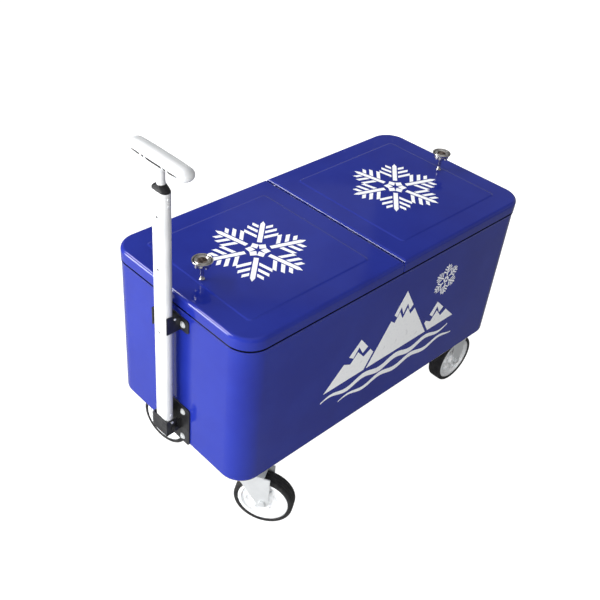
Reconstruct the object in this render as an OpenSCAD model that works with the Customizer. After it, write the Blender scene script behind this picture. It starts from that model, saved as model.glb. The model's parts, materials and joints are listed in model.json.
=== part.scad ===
// Insulated patio cooler on casters: a long steel tub, two half lids hinged
// near the middle, a telescoping pull handle on the -X end.
// Millimetres. +X runs along the tub away from the handle, +Z is up. The origin
// is on the floor, under the middle of the tub.

/* [Tub] */
// Length over the two lids
lid_l = 812; // [760:2:860]
// Width over the lids
lid_w = 398; // [380:2:420]
// Height from the underside of the tub to the top of the lids
cooler_h = 360; // [340:2:400]
// Height of the lid skirt
skirt_h = 25; // [22:1:28]
// Radius of the lid corners, seen from above
corner_r = 50; // [40:1:56]
// How far the tub wall stands inside the lid skirt
wall_inset = 1.6; // [1.6:0.1:2]
// Thickness of the painted steel sheet
sheet_t = 1; // [0.8:0.1:1]
// Thickness of the foam in the walls and the floor
foam_t = 24; // [20:1:26]
// Thickness of the plastic liner
liner_t = 2.5; // [2:0.1:3]

/* [Lids] */
// Radius of the rounded top edge of a lid
edge_r = 8; // [8:0.5:10]
// Gap between the two lids
split_gap = 1.2; // [0.8:0.1:3]
// Height of the raised panel above the lid
panel_rise = 1.2; // [0.8:0.1:1.6]
// Border between the raised panel and the edge of the lid
panel_border = 50; // [44:1:56]
// Radius of the knob's cap
knob_r = 20; // [16:0.5:22]
// Height of a knob above the lid
knob_h = 45; // [38:1:50]
// Distance of a knob from the middle of the tub
knob_x = 344; // [320:1:350]
// How far a knob stands off the lid's centre line, towards -Y
knob_y = 5; // [0:0.5:8]

/* [Casters] */
// Height of a caster, from the floor to the tub
caster_h = 157; // [156:1:162]
// Radius of a wheel
wheel_r = 62.5; // [60:0.5:63.5]
// Width of a wheel's tyre
wheel_w = 32; // [28:1:34]
// Radius of the white hub inside the tyre
hub_r = 53; // [50:0.5:54]
// Distance of a caster from the middle of the tub along X
caster_x = 337; // [325:1:338]
// Distance of a caster from the middle of the tub along Y
caster_y = 153; // [148:1:154]
// Distance from a kingpin's axis to its wheel's axle
trail = 38; // [34:1:40]
// Direction of the front swivel caster's trail from +X, degrees
swivel_front_deg = -58.5; // [-120:0.5:120]
// Direction of the back swivel caster's trail from +X, degrees
swivel_back_deg = -80.5; // [-120:0.5:120]
// Radius of an axle bolt
axle_r = 4; // [4:0.5:5]

/* [Handle] */
// Width of the handle tube along Y
tube_w = 40; // [38:1:42]
// Depth of the handle tube along X
tube_d = 20; // [18:1:20]
// Distance from the end wall to the middle of the handle tube
tube_out = 24; // [23:1:26]
// Height of the tube's top above the underside of the tub
tube_top = 575; // [540:5:600]
// Height of the tube's foot above the underside of the tub
tube_foot = 35; // [34:1:36]
// Height of the middle of the grip above the underside of the tub
grip_mid = 631.5; // [622:0.5:640]
// Length of the grip
grip_l = 156; // [140:2:170]
// Diameter of the telescoping rod
rod_d = 12; // [11:0.5:13]

/* [Hidden] */

$fn = 48;
eps = 0.01;

// bolts and rivets: shank and hole radius, width across the flats of a nut
m8_r = 4;
m8_hole = 4.2;
m8_flat = 13;
m6_r = 3;
m6_hole = 3.2;
m6_flat = 10;
rivet_r = 2;

// heights
base_z = caster_h;
lid_z = base_z + cooler_h;
skirt_z = lid_z - skirt_h;
rim_z = skirt_z - 1;

// tub, from the outside in
body_l = lid_l - 2 * wall_inset;
body_w = lid_w - 2 * wall_inset;
body_r = corner_r - wall_inset;
hem_w = 12;
cavity_inset = sheet_t + foam_t + liner_t;
cavity_l = body_l - 2 * cavity_inset;
cavity_w = body_w - 2 * cavity_inset;
cavity_r = body_r - cavity_inset;
cavity_z = base_z + cavity_inset;
flange_inset = 2.4;
flange_z = rim_z + liner_t;
lip_h = 12;
lip_t = 3;
play = 0.4;

// lid hinge: the axis lies at the centre of the lid's rounded edge, so that the
// edge never swings past the split
hinge_x = split_gap / 2 + edge_r + 2;
hinge_z = lid_z - edge_r;
hinge_r = 3;
knuckle_r = 5.5;
knuckle_play = 0.05;
curl_z = hinge_z + 3;
hinge_pitch = 56;
strap_w = 30;
ear_w = 16;
strap_y = [for (i = [-2:2]) i * hinge_pitch];
ear_y = [for (i = [-2.5:1:2.5]) i * hinge_pitch];
bar_half = 44;
bar_h = 14;
bar_z = rim_z - 1;

// inside of a lid
under_z = lid_z - sheet_t;
pan_x = 62;
pan_inset = 38;
pan_t = 2;
// the pan's flange stops inside the rounded edge of the skin
pan_rim = edge_r - 1;
pan_z = rim_z + 5;
gasket_w = 6;
gasket_z = flange_z + lip_h + 0.5;

// knob
cap_t = 4;
prong_h = 10;

// handle
wall_x = -body_l / 2;
tube_x = wall_x - tube_out;
tube_t = 1.5;
foot_z = base_z + tube_foot;
top_z = base_z + tube_top;
grip_z = base_z + grip_mid;
pivot_x = wall_x - 17;
pivot_z = base_z + 42;
pivot_r = 4;
plate_t = 3;
plate_w = 100;
plate_h = 96;
bolt_y = 31;
bolt_z = [14, 82];
// how far the stirrup reaches below its pivot
stirrup_foot = 15;
cheek_y = tube_w / 2 + 0.5;
cheek_t = 2.5;
ear_gap = 0.5;
ear_t = 2.5;
clip_z = base_z + 286;
clip_w = 90;
clip_h = 30;
clip_t = 2;
clip_arm_h = 38;
clip_bolt_y = 29;
hole_z = [526, 420, 280];
hole_r = 2.5;
collar_h = 11;
// guide shoe: how far it reaches below and above the lock button
shoe_down = 16;
shoe_up = 18;
button_z = base_z + hole_z[2];
rod_foot = button_z + 5;
grip_w = 32;
grip_h = 25;
seam_z = grip_z - 1;
neck_r = rod_d / 2 + 1;

// casters
axle_z = wheel_r;
hub_face = 15;
boss_half = 17.5;
leg_in = 18.5;
leg_t = 2.5;
crown_z = 134;
top_plate = [94, 68, 3.5];
plate_z = base_z - top_plate[2];
bolt_pitch = [74, 46];
kingpin_r = 6;

drain_z = base_z + 52;
drain_r = 12;

shell_c = "mediumblue";
steel_c = "gainsboro";
plastic_c = "white";
black_c = [0.09, 0.09, 0.1];
chrome_c = "silver";

// ---------------------------------------------------------------- helpers

// plan outline with round corners, centred on the origin
module rounded(l, w, r) {
    square([l - 2 * r, w], center = true);
    square([l, w - 2 * r], center = true);
    for (sx = [-1, 1], sy = [-1, 1])
        translate([sx * (l / 2 - r), sy * (w / 2 - r)]) circle(r);
}

// flat-oval section: depth d along X, width w along Y
module stadium(d, w) {
    square([d, w - d], center = true);
    for (s = [-1, 1]) translate([0, s * (w - d) / 2]) circle(d / 2);
}

// half section of a rounded edge: 0 to r outward, 0 to h up, radius e on top
module edge_profile(r, h, e) {
    square([r, h - e]);
    square([r - e, h]);
    translate([r - e, h - e]) circle(e);
}

// solid form of the left half lid: its outer end at -X, its split edge at
// x = -split; r is the corner radius, e the radius of every top edge
module lid_form(split, half_l, half_w, r, e, z0, z1) {
    h = z1 - z0;
    cx = half_l - r;
    cy = half_w - r;
    intersection() {
        translate([0, 0, z0]) {
            for (s = [-1, 1])
                translate([-cx, s * cy, 0]) rotate([0, 0, s > 0 ? 90 : 180])
                    rotate_extrude(angle = 90) intersection() {
                        edge_profile(r, h, e);
                        square([r, h]);
                    }
            translate([-cx, cy, 0]) rotate([90, 0, 0]) linear_extrude(2 * cy)
                mirror([1, 0]) edge_profile(r, h, e);
            for (s = [-1, 1])
                translate([-cx, s * cy, 0]) mirror([0, s > 0 ? 0 : 1, 0])
                    rotate([90, 0, 90]) linear_extrude(cx) edge_profile(r, h, e);
            translate([-cx, -cy, 0]) cube([cx, 2 * cy, h]);
        }
        union() {
            translate([-half_l - 1, -half_w - 1, z0])
                cube([half_l + 1 - split - e, 2 * half_w + 2, h]);
            translate([-split - e - eps, half_w + 1, z0]) rotate([90, 0, 0])
                linear_extrude(2 * half_w + 2) edge_profile(e + eps, h, e);
        }
    }
}

// hexagon head or nut, across-flats a, standing on z = 0
module hex(a, h) {
    cylinder(r = a / sqrt(3), h = h, $fn = 6);
}

// puts a solid whose axis is Z on the row's Y axis
module along_y() {
    rotate([-90, 0, 0]) children();
}

// ---------------------------------------------------------------- tub

module outer_shell() {
    color(shell_c) difference() {
        translate([0, 0, base_z]) linear_extrude(rim_z - base_z) rounded(body_l, body_w, body_r);
        translate([0, 0, base_z + sheet_t]) linear_extrude(rim_z - base_z - 2 * sheet_t)
            rounded(body_l - 2 * sheet_t, body_w - 2 * sheet_t, body_r - sheet_t);
        translate([0, 0, rim_z - 2]) linear_extrude(3)
            rounded(body_l - 2 * hem_w, body_w - 2 * hem_w, body_r - hem_w);
        translate([body_l / 2 - 2 * sheet_t, 0, drain_z]) rotate([0, 90, 0])
            cylinder(r = drain_r + 0.3, h = 3 * sheet_t);
        for (p = plate_bolts()) translate([p[0], p[1], base_z - 1])
            cylinder(r = m8_hole, h = 3);
        for (p = wall_bolts()) translate([wall_x - 1, p[0], p[1]]) rotate([0, 90, 0])
            cylinder(r = m6_hole, h = 3);
    }
}

// the foam fills the walls and the floor, and stays clear of the nuts
module insulation() {
    color("lightyellow") difference() {
        translate([0, 0, base_z + sheet_t + play]) linear_extrude(rim_z - base_z - 2 * sheet_t - 2 * play)
            rounded(body_l - 2 * sheet_t - play, body_w - 2 * sheet_t - play, body_r - sheet_t - play);
        translate([0, 0, cavity_z - liner_t - play]) linear_extrude(rim_z)
            rounded(cavity_l + 2 * liner_t + play, cavity_w + 2 * liner_t + play, cavity_r + liner_t);
        translate([body_l / 2 - foam_t - 8, 0, drain_z]) rotate([0, 90, 0])
            cylinder(r = drain_r + 0.3, h = foam_t + 20);
        for (p = plate_bolts()) translate([p[0], p[1], base_z]) cylinder(r = 10, h = 14);
        for (p = wall_bolts()) translate([wall_x, p[0], p[1]]) rotate([0, 90, 0])
            cylinder(r = 9, h = 12);
    }
}

module inner_liner() {
    flange_l = body_l - 2 * flange_inset;
    flange_w = body_w - 2 * flange_inset;
    color(plastic_c) difference() {
        union() {
            translate([0, 0, cavity_z - liner_t]) linear_extrude(rim_z - cavity_z + liner_t)
                rounded(cavity_l + 2 * liner_t, cavity_w + 2 * liner_t, cavity_r + liner_t);
            translate([0, 0, rim_z]) linear_extrude(liner_t)
                rounded(flange_l, flange_w, body_r - flange_inset);
            translate([0, 0, rim_z]) linear_extrude(liner_t + lip_h)
                rounded(cavity_l + 2 * lip_t, cavity_w + 2 * lip_t, cavity_r + lip_t);
        }
        translate([0, 0, cavity_z]) linear_extrude(rim_z) rounded(cavity_l, cavity_w, cavity_r);
        // gap in the rim lip for the bar and the hinges
        translate([-bar_half - 1, -lid_w, flange_z]) cube([2 * bar_half + 2, 2 * lid_w, lid_z]);
        translate([cavity_l / 2 - 5, 0, drain_z]) rotate([0, 90, 0])
            cylinder(r = drain_r + 0.3, h = 20);
    }
}

// channel across the middle, with an ear for each rod beside every hinge strap
module centre_bar() {
    bar_w = cavity_w - 2 * play;
    color(shell_c) difference() {
        union() {
            translate([-bar_half, -bar_w / 2, bar_z - bar_h]) cube([2 * bar_half, bar_w, bar_h]);
            for (y = ear_y, s = [-1, 1]) translate([s * hinge_x, y - ear_w / 2, 0]) {
                translate([-4, 0, bar_z - 2]) cube([8, ear_w, hinge_z - bar_z + 2]);
                translate([0, 0, hinge_z]) along_y() cylinder(r = knuckle_r, h = ear_w);
            }
        }
        translate([2 - bar_half, 2 - bar_w / 2, bar_z - bar_h - 1])
            cube([2 * bar_half - 4, bar_w - 4, bar_h - 1]);
        for (s = [-1, 1]) translate([s * hinge_x, -body_w / 2, hinge_z])
            along_y() cylinder(r = hinge_r, h = body_w);
        for (s = [-1, 1], t = [-1, 1]) translate([t * (bar_half - 14), s * (bar_w / 2 - 3), bar_z - 6])
            along_y() cylinder(r = 2.2, h = 8, center = true);
    }
}

module hinge_rods() {
    rod_half = ear_y[5] + ear_w / 2 + 4;
    color(steel_c) for (s = [-1, 1]) translate([s * hinge_x, -rod_half, hinge_z])
        along_y() cylinder(r = hinge_r, h = 2 * rod_half);
}

// four screws hold the bar to the liner
module bar_screws() {
    bar_w = cavity_w - 2 * play;
    color(steel_c) for (s = [-1, 1], t = [-1, 1])
        translate([t * (bar_half - 14), s * (bar_w / 2 - 2 - 3), bar_z - 6])
            rotate([s * -90, 0, 0]) {
                cylinder(r = 4, h = 3 - eps);
                cylinder(r = 2.2, h = 5);
            }
}

// ---------------------------------------------------------------- drain

module drain_spout() {
    head_x = cavity_l / 2 - 3;
    color(black_c) translate([head_x, 0, drain_z]) rotate([0, 90, 0]) difference() {
        union() {
            cylinder(r = 18, h = 3);
            cylinder(r = drain_r, h = body_l / 2 - head_x + 12);
        }
        translate([0, 0, -1]) cylinder(r = 8, h = 60);
    }
}

module drain_washer() {
    color("dimgray") translate([body_l / 2, 0, drain_z]) rotate([0, 90, 0]) difference() {
        cylinder(r = 19, h = 2);
        translate([0, 0, -1]) cylinder(r = drain_r, h = 4);
    }
}

module drain_nut() {
    color(black_c) translate([body_l / 2 + 2, 0, drain_z]) rotate([0, 90, 0]) difference() {
        hex(32, 4);
        translate([0, 0, -1]) cylinder(r = drain_r, h = 6);
    }
}

module drain_cap() {
    cap_h = 9;
    color(black_c) translate([body_l / 2 + 6.3, 0, drain_z]) rotate([0, 90, 0]) difference() {
        union() {
            cylinder(r = 16, h = cap_h);
            for (a = [0:30:330]) rotate(a) translate([16, 0, 0]) cylinder(r = 1.6, h = cap_h - 1);
            translate([-12, -2, cap_h - eps]) cube([24, 4, 5]);
        }
        translate([0, 0, -1]) cylinder(r = drain_r + 0.05, h = cap_h - 2);
    }
}

// ---------------------------------------------------------------- lids

// the right lid is the mirror image of the left one
module on_side(side) {
    if (side < 0) children();
    else mirror([1, 0, 0]) children();
}

module lid_skin() {
    half_l = lid_l / 2;
    half_w = lid_w / 2;
    split = split_gap / 2;
    panel_l = half_l - 2 * panel_border - split;
    difference() {
        union() {
            lid_form(split, half_l, half_w, corner_r, edge_r, skirt_z, lid_z);
            translate([-split - panel_border - panel_l / 2, 0, lid_z - eps])
                linear_extrude(panel_rise + eps) rounded(panel_l, lid_w - 2 * panel_border, 12);
        }
        lid_form(split + sheet_t, half_l - sheet_t, half_w - sheet_t, corner_r - sheet_t,
            edge_r - sheet_t, skirt_z - 1, lid_z - sheet_t);
        // the curled split edge ends above the hinge, between the two side skirts
        translate([-split - 12, -half_w + sheet_t, skirt_z - 1])
            cube([20, lid_w - 2 * sheet_t, curl_z - skirt_z + 1]);
        translate([-knob_x, -knob_y, lid_z - 5]) cylinder(r = m6_hole, h = 10);
    }
}

// the pan is a tray that closes the lid's underside
module lid_pan() {
    half_l = lid_l / 2;
    pan_l = half_l - pan_inset - pan_x;
    pan_w = lid_w - 2 * pan_inset + 14;
    flange_l = half_l - pan_rim - pan_x;
    difference() {
        union() {
            translate([-pan_x - pan_l / 2, 0, pan_z]) linear_extrude(under_z - play - pan_z)
                rounded(pan_l, pan_w, 14);
            translate([-pan_x - flange_l / 2, 0, under_z - play - pan_t]) linear_extrude(pan_t)
                intersection() {
                    rounded(flange_l, lid_w - 2 * pan_rim, 10);
                    translate([pan_x + flange_l / 2, 0])
                        rounded(lid_l - 2 * pan_rim, lid_w - 2 * pan_rim, corner_r - pan_rim);
                }
        }
        translate([-pan_x - pan_l / 2, 0, pan_z + pan_t]) linear_extrude(lid_z)
            rounded(pan_l - 2 * pan_t, pan_w - 2 * pan_t, 12);
    }
}

module lid_foam() {
    half_l = lid_l / 2;
    pan_l = half_l - pan_inset - pan_x;
    pan_w = lid_w - 2 * pan_inset + 14;
    difference() {
        translate([-pan_x - pan_l / 2, 0, pan_z + pan_t + play])
            linear_extrude(under_z - pan_z - pan_t - 2 * play)
                rounded(pan_l - 2 * pan_t - 2 * play, pan_w - 2 * pan_t - 2 * play, 11);
        translate([-knob_x, -knob_y, pan_z]) cylinder(r = 12, h = lid_z - pan_z + 5);
    }
}

// the seal hangs from the pan's flange, just over the rim lip of the liner
module lid_gasket() {
    seal_l = cavity_l / 2 + lip_t + 1.5 - pan_x - 2;
    seal_w = cavity_w + 2 * lip_t + 3;
    seal_h = under_z - play - pan_t - gasket_z;
    translate([0, 0, gasket_z]) linear_extrude(seal_h) difference() {
        translate([-pan_x - 2 - seal_l / 2, 0]) rounded(seal_l, seal_w, 14);
        translate([-pan_x - 2 - seal_l / 2 + gasket_w, 0])
            rounded(seal_l, seal_w - 2 * gasket_w + 2, 12);
    }
}

// strap under the skin, with a knuckle round the rod at every strap place
module hinge_strap() {
    strap_z = under_z - play - pan_t;
    difference() {
        union() {
            translate([-pan_x + 2, -lid_w / 2 + 22, strap_z])
                cube([pan_x - 2 - hinge_x - 3, lid_w - 44, pan_t]);
            for (y = strap_y) translate([-hinge_x, y - strap_w / 2, hinge_z]) {
                along_y() cylinder(r = knuckle_r, h = strap_w);
                translate([-12, 0, 0]) cube([12, strap_w, strap_z - hinge_z + pan_t]);
            }
        }
        translate([-hinge_x, -lid_w / 2, hinge_z]) along_y()
            cylinder(r = hinge_r + knuckle_play, h = lid_w);
    }
}

// cap with a grooved and dished face, its top at z = 0 and its body downward
module knob_face() {
    mirror([0, 0, 1]) difference() {
        cylinder(r = knob_r, h = cap_t);
        translate([0, 0, -1]) cylinder(r = knob_r * 0.55, h = 1.8);
        translate([0, 0, -1]) difference() {
            cylinder(r = knob_r - 1.5, h = 2.2);
            translate([0, 0, -1]) cylinder(r = knob_r - 4.5, h = 5);
        }
    }
}

// the cap stands on a crown of eight prongs
module knob_cap() {
    core_r = knob_r - 8;
    translate([-knob_x, -knob_y, lid_z + knob_h]) {
        knob_face();
        translate([0, 0, -cap_t - prong_h]) {
            cylinder(r = core_r, h = prong_h + eps);
            for (a = [0:45:315]) rotate(a)
                translate([core_r - 1, -2.8, 0]) cube([5.5, 5.6, prong_h + eps]);
        }
    }
}

module knob_stem() {
    body_z = lid_z + knob_h - cap_t - prong_h;
    foot = lid_z + panel_rise;
    color(chrome_c) translate([-knob_x, -knob_y, 0]) {
        translate([0, 0, foot]) cylinder(r = 6.2, h = 4);
        translate([0, 0, foot]) cylinder(r = 3.8, h = body_z - foot);
        translate([0, 0, pan_z + pan_t + 1]) cylinder(r = m6_r, h = lid_z - pan_z);
        translate([0, 0, under_z - 5 - play]) hex(m6_flat, 5);
    }
}

module left_lid_skin() { color(shell_c) on_side(-1) lid_skin(); }
module left_lid_foam() { color("lightyellow") on_side(-1) lid_foam(); }
module left_lid_pan() { color(plastic_c) on_side(-1) lid_pan(); }
module left_lid_gasket() { color("gray") on_side(-1) lid_gasket(); }
module left_hinge_strap() { color(steel_c) on_side(-1) hinge_strap(); }
module left_knob_cap() { color(chrome_c) on_side(-1) knob_cap(); }
module left_knob_stem() { color(chrome_c) on_side(-1) knob_stem(); }
module right_lid_skin() { color(shell_c) on_side(1) lid_skin(); }
module right_lid_foam() { color("lightyellow") on_side(1) lid_foam(); }
module right_lid_pan() { color(plastic_c) on_side(1) lid_pan(); }
module right_lid_gasket() { color("gray") on_side(1) lid_gasket(); }
module right_hinge_strap() { color(steel_c) on_side(1) hinge_strap(); }
module right_knob_cap() { color(chrome_c) on_side(1) knob_cap(); }
module right_knob_stem() { color(chrome_c) on_side(1) knob_stem(); }

// ---------------------------------------------------------------- handle

// centres of the bolts through the end wall, as [y, z]
function wall_bolts() = concat(
    [for (sy = [-1, 1], z = bolt_z) [sy * bolt_y, base_z + z]],
    [for (sy = [-1, 1]) [sy * clip_bolt_y, clip_z + clip_h / 2]]);

// plate on the end wall, w wide and h tall, with round corners, its foot at z0
module wall_plate(t, w, h, z0) {
    translate([wall_x - t, 0, z0 + h / 2]) rotate([90, 0, 90]) linear_extrude(t) rounded(w, h, 6);
}

module lower_bracket() {
    ear_y0 = cheek_y + cheek_t + ear_gap;
    color(black_c) difference() {
        union() {
            wall_plate(plate_t, plate_w, plate_h, base_z);
            for (s = [-1, 1]) translate([0, s * (ear_y0 + ear_t / 2), 0]) {
                translate([wall_x - 12, -ear_t / 2, pivot_z - 8])
                    cube([12 - plate_t + eps, ear_t, 27]);
                translate([pivot_x, 0, pivot_z]) along_y() cylinder(r = 8, h = ear_t, center = true);
                translate([pivot_x, -ear_t / 2, pivot_z - 8]) cube([6, ear_t, 16]);
            }
        }
        translate([pivot_x, 0, pivot_z]) along_y()
            cylinder(r = pivot_r, h = plate_w, center = true);
        for (s = [-1, 1], z = bolt_z) translate([wall_x - 2 * plate_t, s * bolt_y, base_z + z])
            rotate([0, 90, 0]) cylinder(r = m6_hole, h = 3 * plate_t);
    }
}

// round-head bolt through the end wall, with its nut inside
module wall_bolt(y, z, outer_x) {
    translate([0, y, z]) rotate([0, 90, 0]) {
        translate([0, 0, outer_x - 4]) cylinder(r = 6, h = 4);
        translate([0, 0, outer_x - eps]) cylinder(r = m6_r, h = wall_x - outer_x + 9);
        translate([0, 0, wall_x + sheet_t]) hex(m6_flat, 5);
    }
}

module bracket_bolts() {
    color(steel_c) {
        for (s = [-1, 1], z = bolt_z) wall_bolt(s * bolt_y, base_z + z, wall_x - plate_t);
        for (s = [-1, 1]) wall_bolt(s * clip_bolt_y, clip_z + clip_h / 2, wall_x - clip_t);
    }
}

module pivot_pin() {
    half = cheek_y + cheek_t + ear_gap + ear_t;
    color(black_c) translate([pivot_x, 0, pivot_z]) along_y() {
        cylinder(r = pivot_r, h = 2 * half, center = true);
        for (s = [-1, 1]) translate([0, 0, s * (half + 1.5)]) cylinder(r = 6, h = 3, center = true);
    }
}

// open spring clip: a web on the wall, two arms beside the tube
module upper_clip() {
    arm_x = tube_x - tube_d / 2 + 1;
    arm_h = clip_arm_h;
    color(black_c) difference() {
        union() {
            wall_plate(clip_t, clip_w, clip_h, clip_z);
            for (s = [-1, 1]) translate([0, s * (tube_w / 2 + 0.6 + clip_t / 2), clip_z])
                rotate([90, 0, 0]) linear_extrude(clip_t, center = true)
                    polygon([[wall_x - clip_t + eps, 0], [arm_x, 0], [arm_x, arm_h],
                        [arm_x + 6, arm_h], [wall_x - clip_t + eps, clip_h]]);
        }
        for (s = [-1, 1]) translate([wall_x - 2 * clip_t, s * clip_bolt_y, clip_z + clip_h / 2])
            rotate([0, 90, 0]) cylinder(r = m6_hole, h = 3 * clip_t);
    }
}

// the stirrup holds the foot of the tube and turns on the pivot pin
module stirrup() {
    x0 = tube_x - tube_d / 2 - 0.5 - cheek_t;
    color(black_c) difference() {
        union() {
            translate([x0, -cheek_y - cheek_t, pivot_z - stirrup_foot])
                cube([cheek_t, 2 * (cheek_y + cheek_t), stirrup_foot + 22]);
            for (s = [-1, 1]) translate([0, s * (cheek_y + cheek_t / 2), pivot_z])
                rotate([90, 0, 0]) linear_extrude(cheek_t, center = true)
                    polygon([[x0, -stirrup_foot], [pivot_x - 4, -stirrup_foot], [pivot_x + 4, -9],
                        [pivot_x + 7, -2], [pivot_x + 7, 22], [x0, 22]]);
            translate([x0, -cheek_y - 1, pivot_z - stirrup_foot])
                cube([pivot_x - 8 - x0, 2 * cheek_y + 2, cheek_t]);
        }
        translate([pivot_x, 0, pivot_z]) along_y()
            cylinder(r = pivot_r + 0.05, h = plate_w, center = true);
        for (s = [-1, 1]) translate([tube_x, s * cheek_y, pivot_z + 17]) along_y()
            cylinder(r = rivet_r, h = 10, center = true);
    }
}

module handle_tube() {
    color(plastic_c) difference() {
        translate([tube_x, 0, foot_z]) linear_extrude(top_z - foot_z) stadium(tube_d, tube_w);
        translate([tube_x, 0, foot_z - 1]) linear_extrude(top_z - foot_z + 2)
            stadium(tube_d - 2 * tube_t, tube_w - 2 * tube_t);
        for (z = hole_z) translate([tube_x - tube_d / 2 - 1, 0, base_z + z]) rotate([0, 90, 0])
            cylinder(r = hole_r, h = 4);
        translate([pivot_x, 0, pivot_z]) along_y()
            cylinder(r = pivot_r + 0.05, h = plate_w, center = true);
        for (z = rivet_z()) translate([tube_x, 0, z]) along_y()
            cylinder(r = rivet_r, h = tube_w + 2, center = true);
    }
}

// plug that closes the foot of the tube
module tube_plug() {
    color(black_c) difference() {
        translate([tube_x, 0, foot_z - 3]) {
            linear_extrude(3) stadium(tube_d, tube_w);
            linear_extrude(48) stadium(tube_d - 2 * tube_t - play, tube_w - 2 * tube_t - play);
        }
        translate([pivot_x, 0, pivot_z]) along_y()
            cylinder(r = pivot_r + 0.05, h = plate_w, center = true);
        for (z = rivet_z()) translate([tube_x, 0, z]) along_y()
            cylinder(r = rivet_r, h = tube_w + 2, center = true);
    }
}

// collar: a plug in the tube's mouth and a stepped cap that guides the rod
module tube_collar() {
    color(black_c) difference() {
        translate([tube_x, 0, top_z]) {
            translate([0, 0, -30]) linear_extrude(30 + eps)
                stadium(tube_d - 2 * tube_t - play, tube_w - 2 * tube_t - play);
            linear_extrude(3) stadium(tube_d - 0.4, tube_w - 0.4);
            linear_extrude(7) stadium(tube_d - 2, tube_w - 4);
            cylinder(r = 9, h = collar_h);
        }
        translate([tube_x, 0, top_z - 40]) cylinder(d = rod_d + 0.1, h = 60);
        for (z = rivet_z()) translate([tube_x, 0, z]) along_y()
            cylinder(r = rivet_r, h = tube_w + 2, center = true);
    }
}

// heights of the rivets through the tube's narrow sides
function rivet_z() = [pivot_z + 17, foot_z + 72 - 30, top_z - 10, top_z - 23];

// rivets: one pair holds the stirrup, one the plug, two the collar
module handle_rivets() {
    color(chrome_c) for (z = rivet_z(), s = [-1, 1]) {
        y0 = z < pivot_z + 20 ? cheek_y + cheek_t : tube_w / 2;
        translate([tube_x, s * y0, z]) rotate([s * -90, 0, 0]) {
            cylinder(r = 3, h = 1.4);
            translate([0, 0, -(y0 - 11)]) cylinder(r = rivet_r, h = y0 - 11 + eps);
        }
    }
}

module handle_rod() {
    color(chrome_c) difference() {
        translate([tube_x, 0, rod_foot]) cylinder(d = rod_d, h = grip_z - 17 - rod_foot);
        translate([tube_x, 0, rod_foot - 1]) cylinder(d = rod_d - 3, h = grip_z - rod_foot);
    }
}

// plastic shoe on the rod's foot, with a pocket for the button and its spring
module guide_shoe() {
    color(black_c) difference() {
        translate([tube_x, 0, button_z - shoe_down]) linear_extrude(shoe_down + shoe_up)
            stadium(tube_d - 2 * tube_t - 0.6, tube_w - 2 * tube_t - 0.6);
        translate([tube_x, 0, rod_foot]) cylinder(d = rod_d, h = shoe_up);
        translate([tube_x - tube_d / 2, 0, button_z]) rotate([0, 90, 0])
            cylinder(r = 2.25, h = 12);
    }
}

// the button rests just inside the tube's wall, so that it can slip past it
module lock_button() {
    x0 = tube_x - tube_d / 2 + tube_t + 0.15;
    color(chrome_c) translate([x0, 0, button_z]) rotate([0, 90, 0]) cylinder(r = 2.2, h = 7);
}

// T-shaped core: neck over the rod, cross tube inside the grip
module grip_core() {
    neck_z = top_z + collar_h + 0.5;
    color(plastic_c) difference() {
        union() {
            translate([tube_x, 0, neck_z]) cylinder(r = neck_r + 0.5, h = 4);
            translate([tube_x, 0, neck_z]) cylinder(r = neck_r, h = seam_z - neck_z - 8);
            translate([tube_x, 0, neck_z]) cylinder(r = neck_r - 0.4, h = grip_z - neck_z);
            translate([tube_x, 0, grip_z]) along_y()
                cylinder(r = 6, h = grip_l - 36, center = true);
        }
        translate([tube_x, 0, neck_z - 1]) cylinder(d = rod_d, h = grip_z - 17 - neck_z + 1);
    }
}

// rounded outside of the grip: fuller in the middle, drooping a little at the ends
module grip_form() {
    hull() for (s = [-1, 1]) {
        translate([tube_x, s * 24, grip_z]) scale([grip_w / 2, 16, grip_h / 2]) sphere(1, $fn = 32);
        translate([tube_x, s * (grip_l / 2 - 14), grip_z - 1])
            scale([grip_w / 2 - 0.8, 14, grip_h / 2 - 0.8]) sphere(1, $fn = 32);
    }
}

module grip_half(upper) {
    difference() {
        intersection() {
            grip_form();
            translate([tube_x - 40, -100, upper ? seam_z + 0.2 : seam_z - 50]) cube([80, 200, 50]);
        }
        translate([tube_x, 0, grip_z]) along_y()
            cylinder(r = 6.2, h = grip_l - 35, center = true);
        translate([tube_x, 0, grip_z - 30]) cylinder(r = neck_r + 0.4, h = 38);
    }
}

module grip_upper() { color(plastic_c) grip_half(true); }
module grip_lower() { color("whitesmoke") grip_half(false); }

// ---------------------------------------------------------------- casters

// centres of the four casters, as [x, y]
function caster_at() = [for (sx = [-1, 1], sy = [-1, 1]) [sx * caster_x, sy * caster_y]];
// centres of the bolts that hold the top plates, as [x, y]
function plate_bolts() = [for (c = caster_at(), sx = [-1, 1], sy = [-1, 1])
    [c[0] + sx * bolt_pitch[0] / 2, c[1] + sy * bolt_pitch[1] / 2]];

// top plate with its four holes, its centre at the origin, from plate_z up
module top_plate_blank() {
    difference() {
        translate([0, 0, plate_z]) linear_extrude(top_plate[2]) rounded(top_plate[0], top_plate[1], 8);
        for (sx = [-1, 1], sy = [-1, 1])
            translate([sx * bolt_pitch[0] / 2, sy * bolt_pitch[1] / 2, plate_z - 1])
                cylinder(r = m8_hole, h = top_plate[2] + 2);
    }
}

// one leg of a fork in the plane of the wheel: wide on top, round at the axle,
// which lies at x = reach
module leg_outline(reach, top0, top1, top_z) {
    translate([reach, axle_z]) circle(13);
    polygon([[top0, top_z], [reach - 12, axle_z - 5], [reach + 13, axle_z], [top1, top_z]]);
}

module fork_legs(reach, top0, top1, top_z) {
    difference() {
        for (s = [-1, 1]) translate([0, s * (leg_in + leg_t / 2), 0])
            rotate([90, 0, 0]) linear_extrude(leg_t, center = true)
                leg_outline(reach, top0, top1, top_z);
        translate([reach, 0, axle_z]) along_y() cylinder(r = axle_r, h = 80, center = true);
    }
}

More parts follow.
